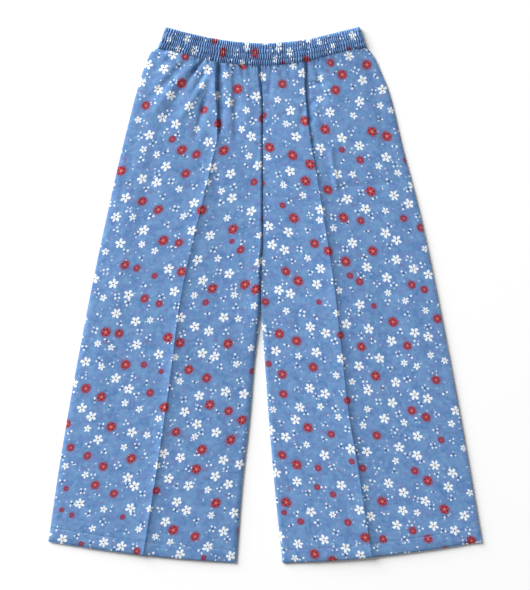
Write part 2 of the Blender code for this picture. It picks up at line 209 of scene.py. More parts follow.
FRONT_FOLDS = {
    "right": (
        Fold(50, -95, 70, -111, 2.3, 2.0, 2.6),
        Fold(70, -111, 86, -121, 1.8, 1.1, 3.0),
        Fold(100, -133, 150, -160, 1.4, 1.0, 7.0),
        Fold(66, -122, 126, -170, -1.3, -1.2, 7.5),
        Fold(78, -98, 96, -109, 1.6, 1.3, 3.2),
        Fold(89, -97, 140, -131, -1.5, -1.3, 5.0),
        Fold(104, -91, 130, -99, 0.7, 1.6, 4.0),
        Fold(130, -99, 170, -109, 1.9, 1.5, 4.6),
        Fold(55, -116, 70, -148, 0.9, 0.7, 5.0),
        Fold(80, -148, 110, -178, 1.2, 0.9, 6.0),
        Fold(43, -142, 70, -176, 1.0, 0.7, 5.0),
        Fold(60, -140, 92, -172, -0.8, -0.7, 5.0),
        Fold(56, -73.9, 94, -75.9, 6.0, 6.2, 1.6, 4.6),
        Fold(94, -75.9, 133, -73.3, 6.2, 6.0, 1.6, 4.6),
        Fold(133, -73.3, 168, -73.5, 6.0, 3.8, 1.6, 4.4),
        Fold(62, -79, 96, -79.6, -1.1, -1.4, 9.0, 0.2),
        Fold(96, -79.6, 160, -77, -1.4, -1.1, 9.0, 0.2),
        Fold(66, -49.5, 128, -48.5, 1.4, 1.6, 3.4, 3.0),
        Fold(128, -48.5, 172, -46.5, 2.2, 1.7, 4.2, 2.4),
        Fold(61, -36, 90, -34, 1.4, 0.5, 2.6),
        Fold(62, -24, 80, -23, 1.0, 0.4, 2.4),
        Fold(185, -82, 275, -76, 0.8, 0.6, 8.0),
        Fold(150, -150, 330, -205, 0.3, 0.7, 16.0),
        Fold(210, -180, 300, -196, 0.4, 0.4, 9.0),
        Fold(300, -60, 420, -74, 0.4, 0.6, 14.0),
        Fold(420, -210, 700, -265, 0.6, 0.4, 20.0),
        Fold(560, -90, 790, -110, 0.3, 0.3, 16.0),
        Fold(660, -290, 820, -300, 0.4, 0.6, 14.0),
    ),
    "left": (
        Fold(60, 10, 98, 7.5, 0.7, 0.6, 3.8),
        Fold(98, 7.5, 125, 5, 0.6, 0.3, 3.8),
        Fold(60, 26, 76, 27, 0.8, 0.3, 2.6),
        Fold(59, 38, 80, 39, 1.2, 0.5, 2.4),
        Fold(78, 48, 92, 52, -0.6, -0.5, 5.0),
        Fold(56, 65.7, 92, 66.3, 4.0, 4.4, 1.6, 2.4),
        Fold(56, 65.7, 92, 66.3, 2.0, 2.2, 1.6, 16.0),
        Fold(92, 66.3, 122, 68, 4.4, 4.2, 1.6, 2.4),
        Fold(92, 66.3, 122, 68, 2.2, 2.2, 1.6, 14.0),
        Fold(122, 68, 150, 70.6, 5.2, 3.4, 1.6, 4.0),
        Fold(150, 70.6, 184, 75.6, 2.4, 1.8, 2.0, 3.0),
        Fold(184, 75.6, 228, 82.6, 1.5, 1.0, 2.0, 3.0),
        Fold(58, 80, 85, 87.5, 1.2, 1.2, 3.4),
        Fold(85, 87.5, 100, 91.5, 1.1, 0.7, 4.0),
        Fold(117, 91, 152, 93, 0.6, 0.6, 6.0),
        Fold(138, 60, 165, 55, 1.1, 0.8, 4.5),
        Fold(50, 98, 72, 102, 0.8, 0.4, 3.0),
        Fold(45, 112, 100, 128, 0.8, 0.5, 5.5),
        Fold(40, 134, 70, 142, 0.7, 0.4, 4.5),
        Fold(80, 176, 180, 192, 0.6, 0.6, 9.0),
        Fold(204, 106, 252, 113, -1.8, -1.8, 4.0),
        Fold(259, 116, 249, 213, 0.85, 0.75, 4.0),
        Fold(440, 2, 438, 32, 0.45, 0.3, 2.4),
        Fold(330, 40, 470, 60, 0.5, 0.3, 14.0),
        Fold(430, 190, 720, 235, 0.6, 0.4, 20.0),
        Fold(600, 60, 800, 84, 0.4, 0.4, 15.0),
        Fold(620, 270, 800, 300, 0.5, 0.4, 16.0),
    ),
}
# The back is pressed flat, so its folds are shallow.
BACK_FOLDS = {
    "right": (
        Fold(55, -100, 120, -128, 0.6, 0.2, 4.5),
        Fold(58, -70, 150, -74, 0.7, 0.3, 3.0),
        Fold(60, -48, 110, -50, 0.6, 0.2, 3.5),
        Fold(62, -24, 96, -22, 0.6, 0.2, 3.0),
        Fold(50, -132, 90, -142, 0.5, 0.2, 4.0),
        Fold(150, -74, 380, -122, 0.35, 0.45, 3.2),
        Fold(380, -122, 800, -187, 0.45, 0.4, 3.2),
        Fold(300, -200, 620, -262, 0.3, 0.3, 18.0),
    ),
    "left": (
        Fold(62, 14, 100, 12, 0.6, 0.2, 3.0),
        Fold(60, 34, 120, 37, 0.6, 0.2, 3.5),
        Fold(56, 60, 160, 70, 0.7, 0.3, 3.0),
        Fold(50, 92, 112, 112, 0.6, 0.2, 4.5),
        Fold(46, 124, 84, 134, 0.5, 0.2, 4.0),
        Fold(160, 70, 400, 109, 0.35, 0.45, 3.2),
        Fold(400, 109, 800, 165, 0.45, 0.4, 3.2),
        Fold(330, 190, 640, 246, 0.3, 0.3, 18.0),
    ),
}
# Spacing of the rows of points down a leg, from the waistband to the hem.
FRONT_STRETCHES = (Stretch(10, 0.8), Stretch(60, 1.8), Stretch(322, 3.2), Stretch(346, 1.2),
                   Stretch(768, 3.2), Stretch(786, 1.2), Stretch(LEG_LENGTH, 0.6))
BACK_STRETCHES = (Stretch(60, 2.5), Stretch(322, 5.0), Stretch(346, 1.6), Stretch(768, 5.0),
                  Stretch(786, 1.5), Stretch(LEG_LENGTH, 0.8))
FRONT_COLUMNS = (60, 72)  # from the inner edge to the crease, and from there to the side seam
BACK_COLUMNS = (26, 30)
# Where each panel was cut from the printed cloth: its crease and top, in metres of cloth.
CUT_AT = {
    "front_right_leg": (0.231, 0.118),
    "front_left_leg": (0.742, 0.365),
    "back_right_leg": (1.318, 0.243),
    "back_left_leg": (1.874, 0.087),
    "waistband": (0.520, 1.040),
}


# ---------------------------------------------------------------- curves
def mix(a, b, t):
    return a + (b - a) * t


def smooth_step(t):
    t = np.clip(t, 0.0, 1.0)
    return t * t * (3 - 2 * t)


def ramp(value, start, length):
    """From 0 at the start to 1 past the length."""
    return smooth_step((value - start) / length)


def rounded(share):
    """How far a rounded edge drops: 0 where the share is 0, and close to 1 where it is 1."""
    return 1 - np.sqrt(1 - 0.98 * share**2)


def bell(distance, half_width):
    return np.exp(-((distance / half_width) ** 2))


def unit(vectors):
    return vectors / np.linalg.norm(vectors, axis=-1, keepdims=True)


def points_of(*parts):
    """Arrays of coordinates joined into an array of points."""
    return np.stack(np.broadcast_arrays(*parts), axis=-1)


def monotone_curve(places, values):
    """A smooth curve through the values that doesn't overshoot between two of them."""
    x, y = np.array(places, float), np.array(values, float)
    step, slope = np.diff(x), np.diff(y) / np.diff(x)
    tangent = np.zeros(len(x))
    tangent[0], tangent[-1] = slope[0], slope[-1]
    for i in range(1, len(x) - 1):
        if slope[i - 1] * slope[i] > 0:
            before, after = 2 * step[i] + step[i - 1], step[i] + 2 * step[i - 1]
            tangent[i] = (before + after) / (before / slope[i - 1] + after / slope[i])

    def at(place):
        i = np.clip(np.searchsorted(x, place) - 1, 0, len(step) - 1)
        t = (place - x[i]) / step[i]
        from_first = y[i] * (1 + 2 * t) + tangent[i] * step[i] * t
        from_second = y[i + 1] * (3 - 2 * t) + tangent[i + 1] * step[i] * (t - 1)
        return from_first * (1 - t) ** 2 + from_second * t**2

    return at


BAND_CURVES = [monotone_curve(range(len(BAND)), values) for values in zip(*BAND)]


def curves_of(table):
    """One curve for each column of a table after its first, which gives the distance down."""
    down, *columns = zip(*table)
    return [monotone_curve(down, values) for values in columns]


def band_point(station, drop):
    """A place on the waistband: drop is 0 at its folded top edge and 1 at the seam below it."""
    top_across, top_down, seam_across, seam_down = (curve(station) for curve in BAND_CURVES)
    return points_of(mix(top_across, seam_across, drop), mix(top_down, seam_down, drop))


def uneven_wave(place, length, phase):
    """A wave between -1 and 1 whose crests are neither alike nor evenly spaced."""
    turn = 2 * math.pi * place / length + phase
    return 0.6 * np.sin(turn + 0.9 * np.sin(0.37 * turn)) + 0.4 * np.sin(0.61 * turn + 2.1)


def graded(stretches):
    """Places from 0 to the last stretch's end, each stretch with its own spacing, as shares of it."""
    places, start = [], 0.0
    for stretch in stretches:
        count = max(1, round((stretch.end - start) / stretch.spacing))
        places.append(np.linspace(start, stretch.end, count, endpoint=False))
        start = stretch.end
    return np.append(np.concatenate(places), start) / start


def close_at_ends(count):
    """Shares from 0 to 1 that lie closer together towards both ends."""
    even = np.linspace(0.0, 1.0, count + 1)
    return mix(even, 0.5 - 0.5 * np.cos(math.pi * even), 0.75)


# ---------------------------------------------------------------- the plan of a leg
class LegPlan:
    """Where the points of a leg's panels lie, seen from above, as (across, down)."""

    def __init__(self, leg):
        self.leg = leg
        self.off_centre = leg.side * SEAM_GAP / 2
        self.hem_down = monotone_curve([leg.side * p.across for p in leg.hem], [p.down for p in leg.hem])
        self.hem_across = (leg.hem[0].across, leg.crease_at_hem, leg.hem[-1].across)
        centre_seam = [Point(p.down, p.across + self.off_centre) for p in CENTRE_SEAM]
        self.lines = [self.line(0.0, centre_seam + list(leg.inseam)), self.line(1.0, leg.crease),
                      self.line(2.0, leg.side_seam)]
        self.inner_roll, self.inner_fall = curves_of(leg.inner_edge)
        self.ridge_height, self.ridge_lift = curves_of(leg.ridge)

    def top(self, column):
        """The edge that is sewn to the waistband."""
        station = np.interp(column, (0, 1, 2), self.leg.stations)
        shift = self.off_centre * np.clip(1 - column, 0.0, 1.0)
        return band_point(station, 1.0) + points_of(shift, np.array(SEAM_GAP))

    def hem(self, column):
        across = np.interp(column, (0, 1, 2), self.hem_across)
        return points_of(across, self.hem_down(self.leg.side * across))

    def line(self, column, points):
        """The inner edge, the crease or the side seam, by its share of the way down."""
        places = [self.top(column), *(np.array([p.across, p.down]) for p in points), self.hem(column)]
        across = monotone_curve([p[1] for p in places], [p[0] for p in places])

        def at(row):
            down = mix(places[0][1], places[-1][1], row)
            return points_of(across(down), down)

        return at

    def point(self, column, row):
        """Blends the lines to either side with the top edge and the hem."""
        column, row = np.broadcast_arrays(column, row)
        inner = (column <= 1)[..., None]
        share = (column - (column > 1))[..., None]
        at_row, at_top, at_hem = ([line(r) for line in self.lines] for r in (row, 0.0, 1.0))

        def across_leg(lines):
            return mix(np.where(inner, lines[0], lines[1]), np.where(inner, lines[1], lines[2]), share)

        row = row[..., None]
        ends = mix(self.top(column), self.hem(column), row)
        return across_leg(at_row) + ends - mix(across_leg(at_top), across_leg(at_hem), row)


# ---------------------------------------------------------------- the form of the cloth
Place = namedtuple("Place", "across down from_inner from_side below_band above_hem off_crease")


def fold_depth(fold, place):
    """How far a fold presses the cloth in. It fades out past its two ends."""
    along = np.array([fold.to_across - fold.from_across, fold.to_down - fold.from_down])
    length = np.linalg.norm(along)
    across, down = place.across - fold.from_across, place.down - fold.from_down
    share = (across * along[0] + down * along[1]) / length**2
    aside = (along[0] * down - along[1] * across) / length
    beyond = np.maximum(np.maximum(0.0, share - 1), -share) * length
    depth = mix(fold.depth_start, fold.depth_end, np.clip(share, 0.0, 1.0))
    half_width = fold.half_width * np.where(aside < 0, fold.lean, 1.0)
    return depth * bell(aside, half_width) * bell(beyond, 2.5 * fold.half_width)


def crease_height(plan, aside, down):
    """The pressed crease: a ridge that rises gently from -X and falls steeply towards +X."""
    lift = plan.ridge_lift(down)
    before, beyond = np.minimum(aside, 0.0), np.maximum(aside, 0.0)
    rising = mix(np.exp(before / CREASE_SLOW), np.exp(before / CREASE_LIFT), lift)
    falling = mix(np.exp(-beyond / CREASE_FALL), np.exp(-beyond / CREASE_STEEP), STEEP_SHARE)
    return plan.ridge_height(down) * rising * falling


def hem_shape(place, side):
    """Where the hem's stitches pull the cloth in, and how it puckers along them."""
    dent = HEM_DENT * bell(place.above_hem - HEM_STITCH, HEM_DENT_WIDTH)
    wave = uneven_wave(place.across, PUCKER_LENGTH, 1.0 + side)
    return PUCKER * wave * bell(place.above_hem - HEM_STITCH, PUCKER_REACH) - dent


def beside_centre(plan, place, on_inseam):
    """At the centre seam and the crotch the wearer's right side lies over the left side."""
    if plan.leg.side > 0:
        dip, reach = UNDERLAP_DIP
        crest, crest_reach = INNER_CREST
        apart = ramp(place.down, *LEGS_PART)
        return mix(-dip * np.exp(-place.from_inner / reach), crest * bell(place.from_inner, crest_reach),
                   apart)
    above, below, reach = OVERLAP_LIP
    lip = mix(above, below, ramp(place.down, *LIP_CHANGES)) * np.exp(-place.from_inner / reach)
    along, across = CROTCH_HUMP_REACH
    hump = bell(place.down - CROTCH_HUMP_AT, along) * bell(place.from_inner, across)
    return lip * (1 - on_inseam) + CROTCH_HUMP * hump


def front_surface(plan, place):
    """Height of the outer side of the front."""
    side = plan.leg.side
    on_inseam = ramp(place.down, *PAST_CROTCH)
    loft = mix(LOFT_AT_BAND, LOFT_BELOW, smooth_step(place.below_band / LOFT_SETTLES))
    folds = sum(fold_depth(fold, place) for fold in FRONT_FOLDS[plan.leg.name])
    shape = loft * smooth_step(place.from_side / SIDE_RISE) - folds
    shape = shape + crease_height(plan, place.off_crease, place.down)
    shape = shape * mix(1.0, smooth_step(place.from_inner / INSEAM_RISE), on_inseam)
    shape = shape * mix(FOLDS_AT_BAND, 1.0, smooth_step(place.below_band / FOLDS_FADE))
    brows = ((BROW[plan.leg.name], BROW_LENGTH), BROW_EDGE)
    shape = shape + sum(height * np.exp(-place.below_band / length) for height, length in brows)
    shape = shape * smooth_step(place.from_side / FOLDS_RISE)

    height, spacing, reach = GATHERS
    gathers = uneven_wave(place.across, spacing, side) * np.exp(-place.below_band / reach)
    pull, pull_spacing, pull_reach = SEAM_PULL
    seam_pull = uneven_wave(place.down, pull_spacing, 2.0 * side)
    seam_pull = seam_pull * bell(place.from_inner - pull_reach, pull_reach)
    shape = shape + height * gathers + pull * seam_pull * (1 - on_inseam) + hem_shape(place, side)
    shape = shape + beside_centre(plan, place, on_inseam)
    rounding = sum(drop * np.clip(1 - place.above_hem / length, 0.0, 1.0) ** 2
                   for length, drop in (HEM_ROLL, HEM_EDGE))
    return np.maximum(LOWEST_FRONT, FRONT_FACE + shape - rounding)


def back_surface(plan, place):
    """Height of the outer side of the back, which is its underside."""
    folds = sum(fold_depth(fold, place) for fold in BACK_FOLDS[plan.leg.name])
    folds = folds * smooth_step(place.from_inner / FOLDS_RISE) * smooth_step(place.from_side / FOLDS_RISE)
    length, rise = BACK_HEM_EDGE
    rounding = rise * rounded(np.clip(1 - place.above_hem / length, 0.0, 1.0))
    dent = BACK_HEM_DENT * bell(place.above_hem - HEM_STITCH, HEM_DENT_WIDTH)
    return np.clip(folds + dent + rounding, 0.0, BACK_HIGHEST)


# ---------------------------------------------------------------- shells
Shell = namedtuple("Shell", "outer inner cloth")  # points in millimetres, and metres of flat cloth


def to_world(points):
    """From (across, down, height) in millimetres to metres in the frame."""
    return np.stack([points[..., 0], FULL_LENGTH / 2 - points[..., 1], points[..., 2]], axis=-1) * MM


def rolled_edge(start, towards, roll, fall, seam_height):
    """Points where a panel rolls over at its edge, outer and inner, for each row and each turn."""
    outward = unit(towards[:, :2] - start[:, :2])[:, None, :]
    roll, fall, seam_height = roll[:, None, None], fall[:, None, None], seam_height[:, None, None]
    rise = start[:, None, 2:] - seam_height
    turns = np.linspace(EDGE_TURN, math.pi / 2, ARC_STEPS, endpoint=False)[None, :, None]
    sides = []
    for wall in (0.0, SHELL):
        flat = start[:, None, :2] + outward * (roll - wall) * np.cos(turns)
        height = seam_height + (rise - np.sign(rise) * wall) * np.sin(turns) ** fall
        sides.append(np.concatenate([flat, height], axis=-1))
    return sides


def panel_shell(plan, rows, columns, surface, facing, cut_at):
    """A leg panel. Facing is 1 for the front and -1 for the back."""
    inner_edge, crease, side_edge = (plan.point(column, rows) for column in (0.0, 1.0, 2.0))
    inner_roll, inner_fall = plan.inner_roll(inner_edge[:, 1]), plan.inner_fall(inner_edge[:, 1])
    side_roll, side_fall = np.full(len(rows), SIDE_ROLL), np.full(len(rows), SIDE_FALL)
    first = inner_roll / np.linalg.norm(crease - inner_edge, axis=-1)
    last = 2 - side_roll / np.linalg.norm(side_edge - crease, axis=-1)
    near = mix(first[:, None], 1.0, columns[None, :])
    far = mix(1.0, last[:, None], columns[None, :] - 1)
    flat = plan.point(np.where(columns <= 1, near, far), rows[:, None])

    place = Place(
        across=flat[..., 0],
        down=flat[..., 1],
        from_inner=np.linalg.norm(flat - inner_edge[:, None], axis=-1) - inner_roll[:, None],
        from_side=np.linalg.norm(flat - side_edge[:, None], axis=-1) - side_roll[:, None],
        below_band=flat[..., 1] - plan.top(columns)[None, :, 1],
        above_hem=plan.hem(columns)[None, :, 1] - flat[..., 1],
        off_crease=flat[..., 0] - crease[:, None, 0],
    )
    height = surface(plan, place)[..., None]
    middle = [np.concatenate([flat, height - facing * wall], axis=-1) for wall in (0.0, SHELL)]

    seam_height = np.full(len(rows), SEAM_HEIGHT + facing * SEAM_GAP / 2)
    inner_height = mix(CENTRE_HEIGHTS[facing], seam_height, ramp(inner_edge[:, 1], *SEAM_LIFTS))
    inner_rolled = rolled_edge(middle[0][:, 0], inner_edge, inner_roll, inner_fall, inner_height)
    side_height = seam_height + SIDE_LIFT[plan.leg.name] * ramp(side_edge[:, 1], *BELOW_HIPS)
    side_rolled = rolled_edge(middle[0][:, -1], side_edge, side_roll, side_fall, side_height)
    outer, inner = (np.concatenate([inner_rolled[k], middle[k], side_rolled[k][:, ::-1]], axis=1)
                    for k in (0, 1))

    steps = np.linalg.norm(np.diff(outer, axis=1), axis=-1)
    along = np.concatenate([np.zeros((len(rows), 1)), np.cumsum(steps, axis=1)], axis=1)
    on_crease = ARC_STEPS + int(np.searchsorted(columns, 1.0))
    along = (along - along[:, on_crease:on_crease + 1]) * plan.leg.side
    cloth = points_of(cut_at[0] + along * MM, cut_at[1] - outer[..., 1] * MM)
    return Shell(outer, inner, cloth)


def band_relief(turns, drop):
    """Height of the ribs from 0 to 1. Each row of stitching holds them down, and past it they shift
    sideways a little, so that the gathers look woven through each other."""
    stretch = np.clip(drop, 0.0, 0.999) * ELASTIC_ROWS
    within = stretch - np.floor(stretch)
    number = np.floor(stretch).astype(int)
    phase = RIB_SHIFTS[number] + 0.12 * uneven_wave(turns, 9.0, 1.0 * number)
    width = turns + 0.22 * np.sin(0.83 * turns) + 0.15 * np.sin(0.31 * turns + 1.0 + 0.4 * number)
    rib = np.abs(np.sin(math.pi * (width + phase))) ** 0.9
    held = np.sqrt(np.sin(math.pi * np.clip(within, 0.02, 0.98)))
    uneven = 0.85 + 0.15 * uneven_wave(turns, 5.3, 2.0 + number)
    return rib * mix(RIB_HELD, 1.0, held) * uneven


def band_heights(stations, drop, wall):
    """Height of the front layer and of the back layer. The inner sides, past the wall, have no ribs."""
    rounding = rounded(np.clip(1 - drop * BAND_DEPTH / BAND_EDGE, 0.0, 1.0))
    sinking = RIB_SINK * np.exp(-(1 - drop) * BAND_DEPTH / RIB_SINK_REACH)
    turns = [layer[None, :] / (len(BAND) - 1) * BAND_RIBS for layer in stations]
    ribs, back_ribs = (0.0 if wall else band_relief(layer, drop) for layer in turns)
    front = BAND_FRONT - BAND_LINING * bool(wall) - wall - BAND_TOP_DROP * rounding
    front = front + RIB_HEIGHT * ribs * (1 - 0.5 * rounding - sinking)
    front = front + BAND_ARCH * (1 - (2 * drop - 1) ** 2)
    back = BAND_BACK + wall + BACK_RIB_HEIGHT * (1 - back_ribs) * (not wall) + BAND_BACK_RISE * rounding
    back = back + ELASTIC_DENT * sum(bell(drop - row, 0.035) for row in SEWN_AT)
    return front, back


def band_layer(stations, drop, height):
    """Points of the front or the back of the band."""
    height = np.broadcast_to(height, (len(drop), len(stations)))
    return np.concatenate([band_point(stations[None, :], drop), height[..., None]], axis=-1)


def band_end(start, end, station, drops, roll):
    """Points where the casing folds over from one layer to the other."""
    turns = np.linspace(0.0, math.pi, 2 * ARC_STEPS + 1)[1:-1]
    outward = unit(band_point(station, drops) - start[:, :2])[:, None, :]
    reach = roll * np.sin(turns)[None, :, None]
    flat = mix(start[:, None, :2], end[:, None, :2], 0.5) + outward * reach
    height = mix(start[:, None, 2:], end[:, None, 2:], 0.5 - 0.5 * np.cos(turns)[None, :, None])
    return np.concatenate([flat, height], axis=-1)


def waistband_shell(cut_at):
    """The casing all the way round: front, over one end, back, over the other end."""
    drops = np.linspace(0.0, 1.0, BAND_ROWS + 1)
    drop = drops[:, None]
    last_station = len(BAND) - 1.0
    inset = BAND_END_ROLL / (BAND[1].top_across - BAND[0].top_across)
    ends = (inset, last_station - inset)
    stations = (np.linspace(*ends, BAND_RIBS * RIB_COLUMNS + 1),
                np.linspace(*ends[::-1], BAND_RIBS * BACK_RIB_COLUMNS + 1))
    sides = []
    for wall in (0.0, BAND_WALL):
        front, back = (band_layer(layer, drop, height)
                       for layer, height in zip(stations, band_heights(stations, drop, wall)))
        roll = BAND_END_ROLL - wall
        sides.append(np.concatenate([front, band_end(front[:, -1], back[:, 0], last_station, drops, roll),
                                     back, band_end(back[:, -1], front[:, 0], 0.0, drops, roll)], axis=1))
    outer, inner = sides
    smooth = np.linalg.norm(np.diff(inner[BAND_ROWS // 2], axis=0), axis=-1)
    along = np.concatenate([[0.0], np.cumsum(smooth)]) * GATHER_RATIO
    cloth = points_of(cut_at[0] + along[None, :] * MM, cut_at[1] - drop * BAND_DEPTH * MM)
    return Shell(outer, inner, cloth)


def quads(lines, closed=False):
    """Faces between neighbouring lines of point numbers."""
    if closed:
        lines = np.concatenate([lines, lines[:, :1]], axis=1)
    corners = [lines[:-1, :-1], lines[:-1, 1:], lines[1:, 1:], lines[1:, :-1]]
    return np.stack(corners, axis=-1).reshape(-1, 4)


def mesh_object(name, points, faces, materials):
    """An object from points in millimetres, smooth, with all its faces turned outwards."""
    mesh = bpy.data.meshes.new(name)
    mesh.from_pydata(to_world(points).tolist(), [], faces)
    shape = bmesh.new()
    shape.from_mesh(mesh)
    bmesh.ops.recalc_face_normals(shape, faces=shape.faces[:])
    shape.to_mesh(mesh)
    shape.free()
    mesh.shade_smooth()
    for material in materials:
        mesh.materials.append(material)
    made = bpy.data.objects.new(name, mesh)
    bpy.context.scene.collection.objects.link(made)
    return made


def shell_object(name, shell, materials, inner_step, closed=False):
    """A shell as one closed mesh. Its inner side keeps every inner_step-th row, and the last."""
    rows, columns = shell.outer.shape[:2]
    kept = sorted({*range(0, rows, inner_step), rows - 1})
    points = np.concatenate([shell.outer.reshape(-1, 3), shell.inner[kept].reshape(-1, 3)])
    cloth = np.concatenate([shell.cloth.reshape(-1, 2), shell.cloth[kept].reshape(-1, 2)])
    outer = np.arange(rows * columns).reshape(rows, columns)
    inner = outer.size + np.arange(len(kept) * columns).reshape(len(kept), columns)
    faces = [quads(outer, closed), quads(inner, closed)]
    faces += [quads(np.stack([outer[r], inner[r]]), closed) for r in (0, -1)]
    triangles = []
    if not closed:
        for c in (0, -1):
            for k, (r, after) in enumerate(zip(kept, kept[1:])):
                line = outer[r:after + 1, c]
                middle = len(line) // 2
                triangles += [(line[i], line[i + 1], inner[k, c]) for i in range(middle)]
                triangles += [(line[i], line[i + 1], inner[k + 1, c]) for i in range(middle, len(line) - 1)]
                triangles.append((line[middle], inner[k + 1, c], inner[k, c]))
    every_face = np.concatenate(faces).tolist() + [tuple(map(int, t)) for t in triangles]
    made = mesh_object(name, points, every_face, materials)
    mesh = made.data
    layer = mesh.uv_layers.new(name="Cloth")
    corners = np.empty(len(mesh.loops), dtype=np.int32)
    mesh.loops.foreach_get("vertex_index", corners)
    layer.data.foreach_set("uv", cloth[corners].astype(np.float32).ravel())
    wrong_side = np.zeros(len(mesh.polygons), dtype=np.int32)
    wrong_side[len(faces[0]):len(faces[0]) + len(faces[1])] = 1
    mesh.polygons.foreach_set("material_index", wrong_side)
    mesh.set_sharp_from_angle(angle=SHARP_ANGLE)
    return made


# ---------------------------------------------------------------- sewing
STITCH_LENGTH = 3.0
STITCH_GAP = 0.7
THREAD = 0.42  # thread is 0.3 mm thick, and is drawn a little coarser so that it shows
THREAD_RISE = 1.1  # of its thickness, above where a stitch goes into the cloth
THREAD_SINK = 0.35
STITCH_SIDES = 6
STITCH_RINGS = 5


def stitches(name, lines, material):
    """Rows of lockstitch as one mesh: each stitch is a short thread that dips into the cloth at its
    ends. Each line is an array of points in millimetres with 1 for sewing seen from above, or -1."""
    points, faces = [], []
    for line, upward in lines:
        along = np.concatenate([[0.0], np.cumsum(np.linalg.norm(np.diff(line, axis=0), axis=-1))])
        starts = np.arange(STITCH_GAP, along[-1] - STITCH_LENGTH, STITCH_LENGTH + STITCH_GAP)
        for start in starts:
            share = np.linspace(0.0, 1.0, STITCH_RINGS)
            reached = start + share * STITCH_LENGTH
            at = np.stack([np.interp(reached, along, line[:, k]) for k in range(3)], axis=-1)
            at[:, 2] += upward * THREAD * (THREAD_RISE * np.sin(math.pi * share) - THREAD_SINK)
            at[:, 2] = np.maximum(at[:, 2], THREAD / 2)
            direction = unit(at[-1] - at[0])
            aside = unit(np.cross(direction, (0.0, 0.0, 1.0)))
            above = np.cross(aside, direction)
            first = len(points)
            for ring, centre in enumerate(at):
                radius = THREAD / 2 * (0.7 + 0.3 * math.sin(math.pi * share[ring]))
                for k in range(STITCH_SIDES):
                    turn = 2 * math.pi * k / STITCH_SIDES
                    points.append(centre + radius * (aside * math.cos(turn) + above * math.sin(turn)))
            rings = first + np.arange(STITCH_RINGS * STITCH_SIDES).reshape(STITCH_RINGS, STITCH_SIDES)
            faces += quads(rings, closed=True).tolist()
            faces += [rings[0].tolist(), rings[-1][::-1].tolist()]
    return mesh_object(name, np.array(points), faces, [material])


# ---------------------------------------------------------------- colours and nodes
def linear(hex_colour):
    """An sRGB hex colour as linear values with alpha."""
    channels = [int(hex_colour[i:i + 2], 16) / 255 for i in (1, 3, 5)]
    return tuple(c / 12.92 if c <= 0.04045 else ((c + 0.055) / 1.055) ** 2.4 for c in channels) + (1.0,)


def add(tree, kind, inputs=None, **settings):
    """Adds a node with its settings. Inputs are sockets to link or values to set. Gives its outputs."""
    node = tree.nodes.new("ShaderNode" + kind)
    for name, value in settings.items():
        setattr(node, name, value)
    for key, value in (inputs or {}).items():
        if isinstance(value, bpy.types.NodeSocket):
            tree.links.new(value, node.inputs[key])
        else:
            node.inputs[key].default_value = value
    return node.outputs


GROUND = "#6792BF"  # mid blue of the printed ground
GROUND_DEEP = "#4E7BAF"
GROUND_PALE = "#7DA6D2"
GROUND_MAUVE = "#727EBC"
GHOST = "#77688F"  # mauve marks that sit under the flowers
PETAL_WHITE = "#EEF4FA"
FLOWER_CREAM = "#F3EBCB"
FLOWER_EYE = "#1F1B18"
RED_DEEP = "#5A1D36"
RED_PETAL = "#AE3A44"
RED_HEART = "#D58278"
RED_FADED = "#85375A"
SPECK = "#303A63"
THREAD_BLUE = "#7F9DC4"
WRONG_SIDE_PALE = "#B9CBE2"

# Clouds in the ground: their colour, whether they drift apart from the others, and their size in
# millimetres. Low and high are the levels of noise between which a cloud comes up.
Cloud = namedtuple("Cloud", "colour shifted size detail roughness low high strength")
GROUND_CLOUDS = (
    Cloud(GROUND, False, 20.0, 3.0, 0.6, 0.37, 0.6, 1.0),
    Cloud(GROUND_PALE, False, 7.143, 4.0, 0.7, 0.44, 0.72, 0.85),
    Cloud(GROUND_MAUVE, True, 11.765, 3.0, 0.7, 0.45, 0.75, 0.75),
    Cloud(GHOST, True, 13.333, 1.0, 0.5, 0.64, 0.76, 0.6),
)

# Petals of a flower of radius 1: how far out their middles lie, half their length, and the sum of their
# half widths.
Petal = namedtuple("Petal", "reach half_length width")
WHITE_SHAPE = Petal(0.66, 0.34, 1.38)
RED_SHAPE = Petal(0.62, 0.36, 1.38)

MOTIF_SPACING = 31.6  # millimetres between flowers; as many groups of dots lie between them
SCATTER = 0.5  # how far each motif strays from its place in the row
ROWS_TURNED = 0.44  # the rows of motifs run askew over the cloth
LARGE_FLOWER = 8.1  # radius
SMALL_FLOWER = 5.8
LARGE_RED = 8.5
RED_SMALLER = 4.0  # how much smaller the smallest red flowers are
RED_CHANCE = 2.2  # a flower is red where this, times a random share, plus its number in the repeat
RED_BELOW = 2.88  # is below this, as it is for a little over a third of them
FADING = 2.2  # power of a random share, so that only a few of the red ones are small and faded
SMALL_SHARE = 0.38  # of the white flowers
SIX_PETALS_SHARE = 0.28  # the others have five
WAVER = 2.6  # how far the motifs are drawn out of shape, in all
WAVER_LENGTH = 5.0
UNEVEN_DOTS = 6.25  # size of the noise that makes the dots of a group unlike each other
CLEAR_OF_FLOWER = 9.5  # from the middle of a flower to the middle of a group of dots
DOTS_REACH = 2.25  # from the middle of a group to its dots
DOTS_APART = 0.55  # and this much further for each of them
DOT = 1.25
SPECK_SHARE = 0.75  # of the groups
SPRINKLE = 1.15  # radius of the single pale dots
SPRINKLE_SPACING = 12.0
SPRINKLE_SHARE = 0.3


